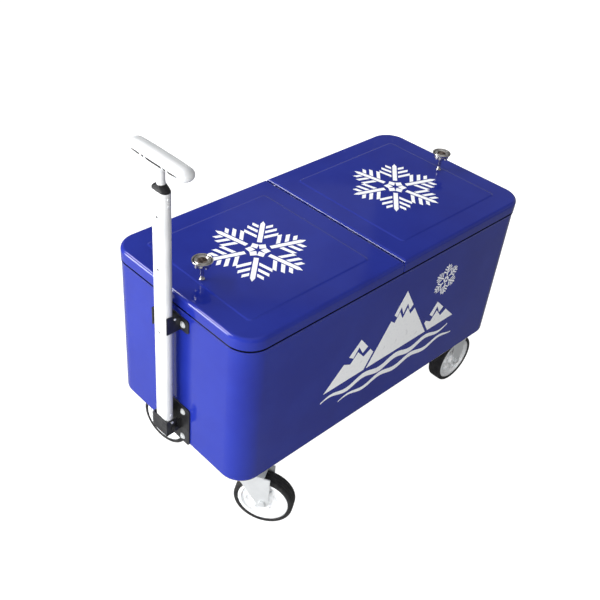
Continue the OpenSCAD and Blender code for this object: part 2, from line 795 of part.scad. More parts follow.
// swivelling fork about a kingpin on the Z axis, its trail towards +X
module swivel_fork() {
    color(steel_c) difference() {
        union() {
            fork_legs(trail, -26, trail + 13, crown_z + 1);
            translate([6.5, 0, crown_z]) linear_extrude(3) rounded(65, 2 * (leg_in + leg_t), 8);
            translate([0, 0, crown_z + 3 - eps]) cylinder(r = 26, h = 5);
        }
        translate([0, 0, crown_z - 1]) cylinder(r = kingpin_r + 0.08, h = 20);
    }
}

// top plate with the upper race cup
module swivel_plate() {
    difference() {
        union() {
            top_plate_blank();
            translate([0, 0, crown_z + 8.5]) cylinder(r = 29, h = plate_z - crown_z - 8.5 + eps);
        }
        translate([0, 0, crown_z]) cylinder(r = kingpin_r, h = 40);
    }
}

module swivel_plates() {
    color(steel_c) for (sy = [-1, 1]) translate([-caster_x, sy * caster_y, 0]) swivel_plate();
}

// kingpins, riveted over under the crown
module kingpins() {
    color(steel_c) for (sy = [-1, 1]) translate([-caster_x, sy * caster_y, 0]) {
        translate([0, 0, crown_z - 1]) cylinder(r = kingpin_r, h = base_z - crown_z + 1 - eps);
        translate([0, 0, crown_z - 4]) cylinder(r = 9.5, h = 3.5);
    }
}

// places a caster's own frame: kingpin on Z, trail towards +X
module at_caster(sx, sy, turn) {
    translate([sx * caster_x, sy * caster_y, 0]) rotate(turn) children();
}
module at_swivel_front() { at_caster(-1, -1, swivel_front_deg) children(); }
module at_swivel_back() { at_caster(-1, 1, swivel_back_deg) children(); }

module swivel_fork_front() { at_swivel_front() swivel_fork(); }
module swivel_fork_back() { at_swivel_back() swivel_fork(); }

// axle bolt with its nut, along Y through the origin's axle
module axle_bolt() {
    half = leg_in + leg_t;
    color(steel_c) translate([0, 0, axle_z]) along_y() {
        cylinder(r = axle_r, h = 2 * half + 10, center = true);
        translate([0, 0, -half - 5]) hex(m8_flat, 5);
        translate([0, 0, half]) hex(m8_flat, 5);
    }
}
module swivel_axle_front() { at_swivel_front() translate([trail, 0, 0]) axle_bolt(); }
module swivel_axle_back() { at_swivel_back() translate([trail, 0, 0]) axle_bolt(); }
module rigid_axles() { for (sy = [-1, 1]) at_caster(1, sy, 0) axle_bolt(); }

module rigid_fork() {
    color(steel_c) union() {
        top_plate_blank();
        fork_legs(0, -28, 28, plate_z + eps);
    }
}
module rigid_fork_front() { at_caster(1, -1, 0) rigid_fork(); }
module rigid_fork_back() { at_caster(1, 1, 0) rigid_fork(); }

// bolts through the top plates, with nuts inside the tub's floor
module caster_bolts() {
    color(steel_c) for (p = plate_bolts()) translate([p[0], p[1], 0]) {
        translate([0, 0, plate_z - 5]) hex(m8_flat, 5);
        translate([0, 0, plate_z - eps]) cylinder(r = m8_r, h = base_z + 9 - plate_z);
        translate([0, 0, base_z + sheet_t]) hex(m8_flat, 6);
    }
}

// tyre: a round-shouldered rubber band on the hub
module tyre() {
    shoulder = 7;
    color(black_c) translate([0, 0, axle_z]) along_y() rotate_extrude($fn = 96)
        difference() {
            union() {
                translate([hub_r, -wheel_w / 2 + shoulder]) square([wheel_r - hub_r, wheel_w - 2 * shoulder]);
                translate([hub_r, -wheel_w / 2]) square([wheel_r - hub_r - shoulder, wheel_w]);
                for (s = [-1, 1])
                    translate([wheel_r - shoulder, s * (wheel_w / 2 - shoulder)]) circle(shoulder);
            }
            translate([hub_r - 10, -wheel_w]) square([10, 2 * wheel_w]);
        }
}

// hub: rim, web with round pockets, boss with the axle bore
module hub() {
    rim_t = 7;
    boss_r = 15;
    color(plastic_c) translate([0, 0, axle_z]) along_y() difference() {
        union() {
            difference() {
                cylinder(r = hub_r, h = 2 * hub_face, center = true, $fn = 96);
                for (s = [-1, 1]) translate([0, 0, s * hub_face])
                    cylinder(r = hub_r - rim_t, h = 12, center = true, $fn = 96);
            }
            cylinder(r = boss_r, h = 2 * boss_half, center = true);
        }
        for (a = [0:60:300], s = [-1, 1]) rotate(a) translate([hub_r / 2 + 4, 0, s * 8])
            cylinder(r = 7.5, h = 10, center = true);
        cylinder(r = axle_r + 0.05, h = 50, center = true);
    }
}

module tyre_swivel_front() { at_swivel_front() translate([trail, 0, 0]) tyre(); }
module tyre_swivel_back() { at_swivel_back() translate([trail, 0, 0]) tyre(); }
module tyre_rigid_front() { at_caster(1, -1, 0) tyre(); }
module tyre_rigid_back() { at_caster(1, 1, 0) tyre(); }
module hub_swivel_front() { at_swivel_front() translate([trail, 0, 0]) hub(); }
module hub_swivel_back() { at_swivel_back() translate([trail, 0, 0]) hub(); }
module hub_rigid_front() { at_caster(1, -1, 0) hub(); }
module hub_rigid_back() { at_caster(1, 1, 0) hub(); }

// ---------------------------------------------------------------- output

outer_shell();
insulation();
inner_liner();
centre_bar();
hinge_rods();
bar_screws();
drain_spout();
drain_washer();
drain_nut();
drain_cap();
left_lid_skin();
left_lid_foam();
left_lid_pan();
left_lid_gasket();
left_hinge_strap();
left_knob_cap();
left_knob_stem();
right_lid_skin();
right_lid_foam();
right_lid_pan();
right_lid_gasket();
right_hinge_strap();
right_knob_cap();
right_knob_stem();
lower_bracket();
bracket_bolts();
pivot_pin();
upper_clip();
stirrup();
handle_tube();
tube_plug();
tube_collar();
handle_rivets();
handle_rod();
guide_shoe();
lock_button();
grip_core();
grip_upper();
grip_lower();
swivel_plates();
kingpins();
swivel_fork_front();
swivel_fork_back();
swivel_axle_front();
swivel_axle_back();
rigid_fork_front();
rigid_fork_back();
rigid_axles();
caster_bolts();
tyre_swivel_front();
tyre_swivel_back();
tyre_rigid_front();
tyre_rigid_back();
hub_swivel_front();
hub_swivel_back();
hub_rigid_front();
hub_rigid_back();
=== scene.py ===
"""Insulated patio cooler on casters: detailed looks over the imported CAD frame.

Metres, in the frame's own axes: +X runs along the tub away from the handle,
-Y is the side with the large graphic, +Z is up, and the floor is z = 0.
"""
import json
import math
import bpy
import bmesh
from mathutils import Matrix, Vector


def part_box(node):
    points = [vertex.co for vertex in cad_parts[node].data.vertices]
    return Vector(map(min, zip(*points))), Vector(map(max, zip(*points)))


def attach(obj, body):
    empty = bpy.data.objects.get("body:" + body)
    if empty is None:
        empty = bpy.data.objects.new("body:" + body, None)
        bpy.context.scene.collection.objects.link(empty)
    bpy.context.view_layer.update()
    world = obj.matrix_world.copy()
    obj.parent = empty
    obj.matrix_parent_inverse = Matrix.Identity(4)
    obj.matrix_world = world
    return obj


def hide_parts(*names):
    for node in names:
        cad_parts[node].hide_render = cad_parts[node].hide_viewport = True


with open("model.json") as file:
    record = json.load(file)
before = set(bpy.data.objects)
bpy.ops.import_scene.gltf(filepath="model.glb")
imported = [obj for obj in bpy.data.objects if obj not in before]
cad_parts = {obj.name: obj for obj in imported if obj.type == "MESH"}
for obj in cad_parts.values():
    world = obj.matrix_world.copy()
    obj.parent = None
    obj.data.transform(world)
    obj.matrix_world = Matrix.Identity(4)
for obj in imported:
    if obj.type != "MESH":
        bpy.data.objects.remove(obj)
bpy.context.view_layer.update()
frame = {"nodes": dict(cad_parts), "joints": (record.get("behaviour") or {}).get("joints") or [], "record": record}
nodes = frame["nodes"]
joints = {joint["name"]: joint for joint in frame["joints"]}

# ---------------------------------------------------------------- places from the frame

TUB_LO, TUB_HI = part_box("outer_shell")
LID_LO, LID_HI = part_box("left_lid_skin")
PANEL_RISE = 0.0012
LID_Z = LID_HI.z - PANEL_RISE
SKIRT_Z = LID_LO.z
TUBE_LO, TUBE_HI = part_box("handle_tube")
TUBE_X = (TUBE_LO.x + TUBE_HI.x) / 2
GRIP_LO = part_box("grip_lower")[0]
GRIP_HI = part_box("grip_upper")[1]
SEAM_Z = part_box("grip_upper")[0].z
GRIP_HALF_D = (GRIP_HI.x - GRIP_LO.x) / 2
GRIP_HALF_LEN = (GRIP_HI.y - GRIP_LO.y) / 2
GRIP_HALF_H = (GRIP_HI.z - GRIP_LO.z) / 2
GRIP_MID_Z = (GRIP_HI.z + GRIP_LO.z) / 2

# ---------------------------------------------------------------- sizes

SHEET = 0.001
LID_CORNER = 0.050
LID_EDGE = 0.008
SPLIT_CORNER = 0.0025
PANEL_BORDER = 0.050
PANEL_STEP = 0.005
PANEL_CORNER = 0.008
SPLIT_LIP = 0.005
EDGE_BREAK = 0.0006
WALL_CORNER = 0.0484
BASE_EDGE = 0.005
BEAD_H = 0.005
BEAD_OUT = 0.0011
BEAD_DROP = 0.0028
RIM_RECESS = 0.0009
HEM_W = 0.012
HEM_RETURN = 0.002
DECAL_T = 0.00012
DECAL_FOOT = 0.00002
MERGE = 0.00001
CORNER_STEPS = 20


# ---------------------------------------------------------------- node helpers

def new_material(name, colour, roughness, metallic=0.0):
    """A material with a Principled shader, as (material, node tree, shader)."""
    material = bpy.data.materials.new(name)
    material.use_nodes = True
    tree = material.node_tree
    shader = tree.nodes["Principled BSDF"]
    shader.inputs["Base Color"].default_value = (*colour, 1)
    shader.inputs["Roughness"].default_value = roughness
    shader.inputs["Metallic"].default_value = metallic
    return material, tree, shader


def noise(tree, wavelength, detail=3.0, stretch=(1, 1, 1), distortion=0.0):
    """Factor socket of a noise whose features are about wavelength metres long."""
    place = tree.nodes.new("ShaderNodeTexCoord")
    mapping = tree.nodes.new("ShaderNodeMapping")
    mapping.inputs["Scale"].default_value = stretch
    texture = tree.nodes.new("ShaderNodeTexNoise")
    texture.inputs["Scale"].default_value = 1 / wavelength
    texture.inputs["Detail"].default_value = detail
    texture.inputs["Distortion"].default_value = distortion
    tree.links.new(place.outputs["Object"], mapping.inputs["Vector"])
    tree.links.new(mapping.outputs["Vector"], texture.inputs["Vector"])
    return texture.outputs["Fac"]


def cells(tree, size):
    """Distance socket of a Voronoi pattern with cells about size metres across."""
    place = tree.nodes.new("ShaderNodeTexCoord")
    texture = tree.nodes.new("ShaderNodeTexVoronoi")
    texture.inputs["Scale"].default_value = 1 / size
    tree.links.new(place.outputs["Object"], texture.inputs["Vector"])
    return texture.outputs["Distance"]


def remap(tree, factor, low, high, start=0.3, stop=0.7):
    """factor from start..stop to low..high, for a roughness or a bump height."""
    node = tree.nodes.new("ShaderNodeMapRange")
    node.inputs["From Min"].default_value = start
    node.inputs["From Max"].default_value = stop
    node.inputs["To Min"].default_value = low
    node.inputs["To Max"].default_value = high
    tree.links.new(factor, node.inputs["Value"])
    return node.outputs["Result"]


def tint(tree, shader, factor, colours, start=0.35, stop=0.65):
    """Base colour that varies between two colours with factor."""
    ramp = tree.nodes.new("ShaderNodeValToRGB")
    for element, colour, place in zip(ramp.color_ramp.elements, colours, (start, stop)):
        element.color = (*colour, 1)
        element.position = place
    tree.links.new(factor, ramp.inputs["Fac"])
    tree.links.new(ramp.outputs["Color"], shader.inputs["Base Color"])


def bump(tree, shader, layers):
    """Chains bump nodes; each layer is (height socket, depth in metres)."""
    normal = None
    for height, depth in layers:
        node = tree.nodes.new("ShaderNodeBump")
        node.inputs["Distance"].default_value = depth
        tree.links.new(height, node.inputs["Height"])
        if normal:
            tree.links.new(normal, node.inputs["Normal"])
        normal = node.outputs["Normal"]
    tree.links.new(normal, shader.inputs["Normal"])


# ---------------------------------------------------------------- materials

def blue_enamel(name):
    """Gloss royal-blue powder coat: orange peel, slow waves of the sheet, faint wiping haze."""
    material, tree, shader = new_material(name, (0.0105, 0.021, 0.23), 0.1)
    tint(tree, shader, noise(tree, 0.09, 4), ((0.0095, 0.0185, 0.218), (0.0112, 0.0225, 0.242)))
    haze = noise(tree, 0.035, 6, (1, 0.35, 1), 0.6)
    tree.links.new(remap(tree, haze, 0.07, 0.14), shader.inputs["Roughness"])
    waves = [(noise(tree, 0.38, 1), 0.0030), (noise(tree, 0.14, 1), 0.0008)]
    bump(tree, shader, waves + [(noise(tree, 0.0026, 2), 0.000006)])
    return material


MIX_A, MIX_B, MIX_RESULT = 6, 7, 2  # colour sockets of a Mix node


def painted_shade_above(material, height, soft=0.0003):
    """Darkens a paint above a height: painted shade in the step under the lids, where the lid skirts cast their
    shadow.
    """
    tree = material.node_tree
    shader = tree.nodes["Principled BSDF"]
    unshaded_colour = shader.inputs["Base Color"].links[0].from_socket
    place = tree.nodes.new("ShaderNodeTexCoord")
    split = tree.nodes.new("ShaderNodeSeparateXYZ")
    mix = tree.nodes.new("ShaderNodeMix")
    mix.data_type = "RGBA"
    # near-black blue of the painted shade in the step under the lids
    mix.inputs[MIX_B].default_value = (0.0012, 0.0016, 0.012, 1)
    tree.links.new(place.outputs["Object"], split.inputs["Vector"])
    share = remap(tree, split.outputs["Z"], 0, 1, height - soft, height + soft)
    tree.links.new(share, mix.inputs["Factor"])
    tree.links.new(unshaded_colour, mix.inputs[MIX_A])
    tree.links.new(mix.outputs[MIX_RESULT], shader.inputs["Base Color"])
    return material


def screen_print():
    """White print ink on the enamel: slightly uneven cover and a fine leathery surface."""
    material, tree, shader = new_material("white_print", (0.90, 0.91, 0.92), 0.32)
    tint(tree, shader, noise(tree, 0.006, 5), ((0.85, 0.86, 0.89), (0.92, 0.93, 0.94)), 0.25, 0.5)
    tree.links.new(remap(tree, noise(tree, 0.02, 4), 0.26, 0.42), shader.inputs["Roughness"])
    bump(tree, shader, [(noise(tree, 0.0012, 3), 0.00002)])
    return material


def white_coat():
    """White powder coat of the handle tube."""
    material, tree, shader = new_material("white_coat", (0.52, 0.53, 0.54), 0.34)
    shader.inputs["Coat Weight"].default_value = 0.25
    shader.inputs["Coat Roughness"].default_value = 0.12
    tint(tree, shader, noise(tree, 0.05, 6), ((0.48, 0.49, 0.50), (0.54, 0.545, 0.55)), 0.3, 0.55)
    tree.links.new(remap(tree, noise(tree, 0.012, 5), 0.27, 0.45), shader.inputs["Roughness"])
    bump(tree, shader, [(noise(tree, 0.0022, 2), 0.00003)])
    return material


def white_moulding(name, colour, roughness, grain):
    """Moulded white plastic with a fine spark-eroded grain and a soft depth."""
    material, tree, shader = new_material(name, colour, roughness)
    shader.inputs["Subsurface Weight"].default_value = 0.08
    shader.inputs["Subsurface Radius"].default_value = (0.004, 0.003, 0.0025)
    shader.inputs["Subsurface Scale"].default_value = 1.0
    shade = tuple(0.93 * channel for channel in colour)
    tint(tree, shader, noise(tree, 0.03, 5), (shade, colour), 0.3, 0.6)
    rough = remap(tree, noise(tree, 0.009, 4), roughness - 0.06, roughness + 0.08)
    tree.links.new(rough, shader.inputs["Roughness"])
    bump(tree, shader, [(cells(tree, grain), 0.00003), (noise(tree, 0.02, 2), 0.0001)])
    return material


def black_coat():
    """Satin black powder coat on steel: fine texture, dust caught in it."""
    material, tree, shader = new_material("black_coat", (0.012, 0.012, 0.013), 0.38)
    tint(tree, shader, noise(tree, 0.018, 7), ((0.009, 0.009, 0.010), (0.026, 0.026, 0.027)), 0.4, 0.8)
    tree.links.new(remap(tree, noise(tree, 0.007, 5), 0.28, 0.50), shader.inputs["Roughness"])
    bump(tree, shader, [(noise(tree, 0.0011, 3), 0.00006)])
    return material


def black_moulding():
    """Black nylon moulding with a stippled skin."""
    material, tree, shader = new_material("black_moulding", (0.007, 0.007, 0.008), 0.4)
    tint(tree, shader, noise(tree, 0.012, 5), ((0.004, 0.004, 0.005), (0.009, 0.009, 0.010)))
    tree.links.new(remap(tree, noise(tree, 0.004, 5), 0.34, 0.48), shader.inputs["Roughness"])
    bump(tree, shader, [(cells(tree, 0.0009), 0.00002)])
    return material


def zinc_plate():
    """Bright zinc plate: cloudy passivation, rolled streaks and pin-prick pits."""
    material, tree, shader = new_material("zinc_plate", (0.78, 0.80, 0.81), 0.34, 0.62)
    clouds = noise(tree, 0.035, 5, distortion=0.4)
    tint(tree, shader, clouds, ((0.74, 0.76, 0.77), (0.83, 0.85, 0.86)), 0.3, 0.7)
    tree.links.new(remap(tree, noise(tree, 0.010, 5), 0.30, 0.42), shader.inputs["Roughness"])
    streaks = noise(tree, 0.0015, 2, (1, 1, 0.06))
    bump(tree, shader, [(streaks, 0.00003), (noise(tree, 0.0009, 3), 0.00002)])
    return material


def chrome_plate():
    """Polished chrome with faint finger haze and the ripple of the base metal."""
    material, tree, shader = new_material("chrome_plate", (0.66, 0.63, 0.61), 0.09, 1.0)
    tint(tree, shader, noise(tree, 0.02, 3), ((0.60, 0.57, 0.54), (0.72, 0.70, 0.68)))
    tree.links.new(remap(tree, noise(tree, 0.006, 4), 0.15, 0.22), shader.inputs["Roughness"])
    bump(tree, shader, [(noise(tree, 0.009, 2), 0.000008)])
    return material


def painted_reflection_chrome():
    """Chrome of the knobs' centres with painted reflection: a patchy brown-black tint stands for the dark and
    bright reflections in the dish.
    """
    material, tree, shader = new_material("painted_reflection_chrome", (0.20, 0.14, 0.12), 0.16, 1.0)
    painted_reflection_patches = noise(tree, 0.011, 2, distortion=0.3)
    tint(tree, shader, painted_reflection_patches, ((0.060, 0.035, 0.028), (0.55, 0.44, 0.38)), 0.42, 0.60)
    tree.links.new(remap(tree, noise(tree, 0.005, 4), 0.12, 0.22), shader.inputs["Roughness"])
    bump(tree, shader, [(noise(tree, 0.007, 2), 0.00002)])
    return material


def tyre_rubber():
    """Black tyre rubber: bloom, dust in the tread and a fine pebble."""
    material, tree, shader = new_material("tyre_rubber", (0.014, 0.014, 0.015), 0.5)
    shader.inputs["Specular IOR Level"].default_value = 0.4
    tint(tree, shader, noise(tree, 0.012, 7), ((0.010, 0.010, 0.011), (0.034, 0.033, 0.032)), 0.4, 0.85)
    tree.links.new(remap(tree, noise(tree, 0.005, 5), 0.40, 0.66), shader.inputs["Roughness"])
    bump(tree, shader, [(noise(tree, 0.0012, 4), 0.00008)])
    return material


def seal_rubber():
    """Soft extruded grey seal."""
    material, tree, shader = new_material("seal_rubber", (0.08, 0.08, 0.085), 0.6)
    tint(tree, shader, noise(tree, 0.01, 5), ((0.065, 0.065, 0.07), (0.11, 0.11, 0.115)))
    bump(tree, shader, [(noise(tree, 0.0015, 3), 0.00008)])
    return material


def foam_skin():
    """Cream polyurethane foam with open cells on its cut faces."""
    material, tree, shader = new_material("foam_skin", (0.80, 0.72, 0.47), 0.85)
    shader.inputs["Subsurface Weight"].default_value = 0.1
    shader.inputs["Subsurface Radius"].default_value = (0.006, 0.004, 0.002)
    shader.inputs["Subsurface Scale"].default_value = 1.0
    tint(tree, shader, noise(tree, 0.02, 6), ((0.72, 0.62, 0.36), (0.84, 0.77, 0.54)), 0.3, 0.7)
    bump(tree, shader, [(cells(tree, 0.0016), 0.0004)])
    return material


FINISHES = {
    "blue_paint": blue_enamel("blue_enamel"),
    "foam": foam_skin(),
    "liner_plastic": white_moulding("liner_plastic", (0.80, 0.82, 0.84), 0.28, 0.0016),
    "zinc": zinc_plate(),
    "chrome": chrome_plate(),
    "black_metal": black_coat(),
    "black_plastic": black_moulding(),
    "white_paint": white_coat(),
    "white_plastic": white_moulding("grip_plastic", (0.58, 0.59, 0.60), 0.38, 0.0011),
    "hub_plastic": white_moulding("hub_plastic", (0.74, 0.75, 0.76), 0.30, 0.0014),
    "tyre_rubber": tyre_rubber(),
    "rubber_seal": seal_rubber(),
}
PRINT = screen_print()
PAINTED_REFLECTION_CHROME = painted_reflection_chrome()
# the tub's paint carries painted shade above the ledge under the lid skirts
TUB_PAINT = painted_shade_above(blue_enamel("tub_enamel"), TUB_HI.z - BEAD_DROP - 0.0004)


# ---------------------------------------------------------------- mesh helpers

def piece(name, bm, slot, body, replaces=(), crease=35, material=None):
    """Turns bm into a shaded object that rides on body and stands for the CAD nodes it replaces."""
    bmesh.ops.recalc_face_normals(bm, faces=bm.faces)
    mesh = bpy.data.meshes.new(name)
    bm.to_mesh(mesh)
    bm.free()
    mesh.shade_smooth()
    mesh.set_sharp_from_angle(angle=math.radians(crease))
    mesh.materials.append(material or FINISHES[slot])
    made = bpy.data.objects.new(name, mesh)
    bpy.context.scene.collection.objects.link(made)
    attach(made, body)
    if replaces:
        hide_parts(*replaces)
    return made


def bevel(made, width, segments, angle):
    """Rounds the sharp edges of a piece."""
    modifier = made.modifiers.new("rounded_edges", "BEVEL")
    modifier.width = width
    modifier.segments = segments
    modifier.limit_method = "ANGLE"
    modifier.angle_limit = math.radians(angle)
    return made


def even_normals(made):
    """Keeps flat faces flat next to their rounded edges."""
    modifier = made.modifiers.new("even_normals", "WEIGHTED_NORMAL")
    modifier.keep_sharp = True
    return made


def loft(bm, rings, closed=True, cap_first=False, cap_last=False):
    """Skins a list of rings, each a list with the same number of points."""
    loops = [[bm.verts.new(point) for point in ring] for ring in rings]
    for one, two in zip(loops, loops[1:]):
        last = len(one) if closed else len(one) - 1
        for i in range(last):
            j = (i + 1) % len(one)
            bm.faces.new((one[i], one[j], two[j], two[i]))
    if cap_first:
        bm.faces.new(list(reversed(loops[0])))
    if cap_last:
        bm.faces.new(loops[-1])


def smooth(low, high, value):
    """0 below low, 1 above high, an S curve between."""
    share = min(max((value - low) / (high - low), 0.0), 1.0)
    return share * share * (3 - 2 * share)


def arc(cx, cy, radius, start, stop, steps):
    """Points on an arc, from start to stop degrees."""
    turns = [math.radians(start + (stop - start) * i / steps) for i in range(steps + 1)]
    return [(cx + radius * math.cos(t), cy + radius * math.sin(t)) for t in turns]


def round_box(half_x, half_y, radius):
    """Plan outline with four round corners, counter-clockwise."""
    points = []
    for quarter, (sx, sy) in enumerate(((1, 1), (-1, 1), (-1, -1), (1, -1))):
        corner_x = sx * (half_x - radius)
        corner_y = sy * (half_y - radius)
        points += arc(corner_x, corner_y, radius, 90 * quarter, 90 * quarter + 90, CORNER_STEPS)
    return points


def triad(axis):
    """Three unit vectors at right angles: along the axis, and two across it."""
    along = Vector(axis).normalized()
    side = along.orthogonal().normalized()
    return along, side, along.cross(side)


def lathe(bm, profile, centre, axis, steps, ripple=None, capped=True):
    """Turns profile, a list of (along, radius), about an axis through centre.

    ripple(turn, radius) may change a radius, for lobes."""
    axis, side, across = triad(axis)
    rings = []
    for along, radius in profile:
        ring = []
        for k in range(steps):
            turn = 2 * math.pi * k / steps
            reach = ripple(turn, radius) if ripple else radius
            ring.append(centre + axis * along + (side * math.cos(turn) + across * math.sin(turn)) * reach)
        rings.append(ring)
    loft(bm, rings, cap_first=capped, cap_last=capped)


def hexagon(centre, side, across, radius):
    """Six corners round centre, in the plane of two unit vectors."""
    turns = [math.radians(60 * k) for k in range(6)]
    return [centre + (side * math.cos(turn) + across * math.sin(turn)) * radius for turn in turns]


def stadium(depth, width):
    """Flat-oval outline round the handle tube's axis: depth along X, width along Y."""
    steps = 12
    half = (width - depth) / 2
    return arc(0, half, depth / 2, 0, 180, steps) + arc(0, -half, depth / 2, 180, 360, steps)


# ---------------------------------------------------------------- CAD nodes that stay

SLOT_OF = {row["node"]: row["material_slot"] for row in frame["record"]["subparts"]}
EDGE_WIDTHS = {
    0.0015: ("inner_liner", "left_lid_pan", "right_lid_pan"),
    0.0010: ("centre_bar", "drain_cap"),
    0.0008: ("stirrup", "swivel_fork_front", "swivel_fork_back", "rigid_fork_front", "rigid_fork_back"),
    0.0007: ("lower_bracket", "swivel_plates"),
    0.0006: ("drain_nut", "pivot_pin", "upper_clip", "handle_rivets", "grip_core", "swivel_axle_front",
             "swivel_axle_back", "rigid_axles", "caster_bolts"),
    0.0005: ("drain_spout", "tube_plug", "kingpins", "lock_button"),
    0.0004: ("bar_screws", "drain_washer", "left_hinge_strap", "right_hinge_strap", "handle_tube",
             "handle_rod"),
}
EDGE_OF = {node: width for width, group in EDGE_WIDTHS.items() for node in group}


def dress(node):
    """Gives a CAD node the finish of its slot, and rounded edges where EDGE_WIDTHS names it."""
    part = nodes[node]
    part.data.materials.clear()
    part.data.materials.append(FINISHES[SLOT_OF[node]])
    if node in EDGE_OF:
        weld = part.modifiers.new("weld", "WELD")
        weld.merge_threshold = MERGE
        flats = part.modifiers.new("flats", "DECIMATE")
        flats.decimate_type = "DISSOLVE"
        flats.angle_limit = math.radians(1)
        bevel(part, EDGE_OF[node], 2, 30)
        even_normals(part)


for node in nodes:
    dress(node)


# ---------------------------------------------------------------- tub

def tub_shell():
    """The painted steel tub: rounded floor edge, straight walls, a bead, a step in and a flat hem."""
    half_x = (TUB_HI.x - TUB_LO.x) / 2
    half_y = (TUB_HI.y - TUB_LO.y) / 2
    top = TUB_HI.z

    def ring(inset, z):
        return [(x, y, z) for x, y in round_box(half_x - inset, half_y - inset, WALL_CORNER - inset)]

    rings = []
    for k in range(7):
        turn = math.radians(15 * k)
        rings.append(ring(BASE_EDGE * (1 - math.sin(turn)), TUB_LO.z + BASE_EDGE * (1 - math.cos(turn))))
    ledge = top - BEAD_DROP
    rings.append(ring(0, ledge - BEAD_H - EDGE_BREAK))
    for k in range(8):
        turn = math.pi * k / 9
        rings.append(ring(-BEAD_OUT * math.sin(turn), ledge - BEAD_H * (1 - k / 7)))
    rings.append(ring(RIM_RECESS, ledge))
    rings.append(ring(RIM_RECESS, top))
    rings.append(ring(HEM_W, top))
    rings.append(ring(HEM_W, top - SHEET))
    rings.append(ring(HEM_W - HEM_RETURN, top - SHEET))
    bm = bmesh.new()
    loft(bm, rings, cap_first=True)
    return even_normals(piece("tub_shell", bm, "blue_paint", "tub", ["outer_shell"], 50, TUB_PAINT))


# ---------------------------------------------------------------- lids

def lid_outline(inset, corner, split_corner):
    """Outline of the left half lid, inset by a distance; it starts and ends on the split edge."""
    x0, x1 = LID_LO.x + inset, LID_HI.x - inset
    y0, y1 = LID_LO.y + inset, LID_HI.y - inset
    return (arc(x1 - split_corner, y0 + split_corner, split_corner, 0, -90, 6)
            + arc(x0 + corner, y0 + corner, corner, -90, -180, CORNER_STEPS)
            + arc(x0 + corner, y1 - corner, corner, 180, 90, CORNER_STEPS)
            + arc(x1 - split_corner, y1 - split_corner, split_corner, 90, 0, 6))


def lid_shell(side):
    """A stamped half lid: skirt on three sides, rolled top edge, soft step up to the raised panel.

    The split edge has no skirt: the rings are open there below a short lip."""
    mirror = 1 if side == "left" else -1
    lip_z = LID_Z - SPLIT_LIP

    def ring(inset, z, corner=None, split_corner=None):
        if corner is None:
            corner = LID_CORNER - inset
            split_corner = max(SPLIT_CORNER - inset, 0.0004)
        return [(mirror * x, y, z) for x, y in lid_outline(inset, corner, split_corner)]

    bm = bmesh.new()
    skirt = [ring(EDGE_BREAK, SKIRT_Z), ring(0, SKIRT_Z + EDGE_BREAK), ring(0, LID_Z - LID_EDGE)]
    roll = []
    for k in range(1, 11):
        turn = math.radians(9 * k)
        z = LID_Z - LID_EDGE * (1 - math.sin(turn))
        roll.append(ring(LID_EDGE * (1 - math.cos(turn)), z))
    low = [level for level in roll if level[0][2] < lip_z]
    high = [level for level in roll if level[0][2] >= lip_z]
    step = []
    for k in range(9):
        share = k / 8
        rise = PANEL_RISE * smooth(0, 1, share)
        inset = PANEL_BORDER - PANEL_STEP / 2 + PANEL_STEP * share
        corner = PANEL_CORNER + PANEL_STEP / 2 - PANEL_STEP * share
        step.append(ring(inset, LID_Z + rise, corner, corner))
    loft(bm, skirt + low + high[:1], closed=False)
    loft(bm, high + step, cap_last=True)
    bmesh.ops.remove_doubles(bm, verts=bm.verts, dist=MERGE)
    made = piece(f"{side}_lid_shell", bm, "blue_paint", f"{side}_lid", [f"{side}_lid_skin"], 50)
    sheet = made.modifiers.new("sheet", "SOLIDIFY")
    sheet.thickness = SHEET
    sheet.offset = -1
    return even_normals(made)


# ---------------------------------------------------------------- printed graphics

def print_shapes(name, shapes, place, body):
    """Prints flat shapes, each a list of (u, v); place(u, v, height) puts a point on the surface."""
    bm = bmesh.new()
    for shape in shapes:
        low = [bm.verts.new(place(u, v, DECAL_FOOT)) for u, v in shape]
        high = [bm.verts.new(place(u, v, DECAL_T)) for u, v in shape]
        bm.faces.new(high)
        for i in range(len(shape)):
            j = (i + 1) % len(shape)
            bm.faces.new((low[i], low[j], high[j], high[i]))
    return piece(name, bm, "white_paint", body, crease=30, material=PRINT)


def turned(shape, degrees, cx=0.0, cy=0.0):
    """shape turned about the origin and then moved to (cx, cy)."""
    c, s = math.cos(math.radians(degrees)), math.sin(math.radians(degrees))
    return [(cx + c * u - s * v, cy + s * u + c * v) for u, v in shape]


def snowflake(size, cx=0.0, cy=0.0, tilt=0.0):
    """Stencil-cut snowflake of the given radius: six arms, each a stem with loose side branches."""
    stem = 0.046 * size
    gap = 0.026 * size
    shapes = []
    for arm in range(6):
        lean = tilt + 60 * arm
        bar = [(-stem, 0.26 * size), (stem, 0.26 * size), (stem, 0.90 * size),
               (0, size), (-stem, 0.90 * size)]
        shapes.append(turned(bar, lean, cx, cy))
        for foot, reach in ((0.40, 0.30), (0.58, 0.25), (0.75, 0.15)):
            for hand in (-1, 1):
                u0, v0 = stem + gap, foot * size
                du = reach * size * math.cos(math.radians(32))
                dv = reach * size * math.sin(math.radians(32))
                rise = 1.9 * stem
                branch = [(u0, v0), (u0 + du, v0 + dv), (u0 + du, v0 + dv + rise), (u0, v0 + rise)]
                shapes.append(turned([(hand * u, v) for u, v in branch], lean, cx, cy))
        core = [(0, 0.05 * size), (0.085 * size, 0.15 * size), (0, 0.24 * size),
                (-0.085 * size, 0.15 * size)]
        shapes.append(turned(core, lean + 30, cx, cy))
    return shapes


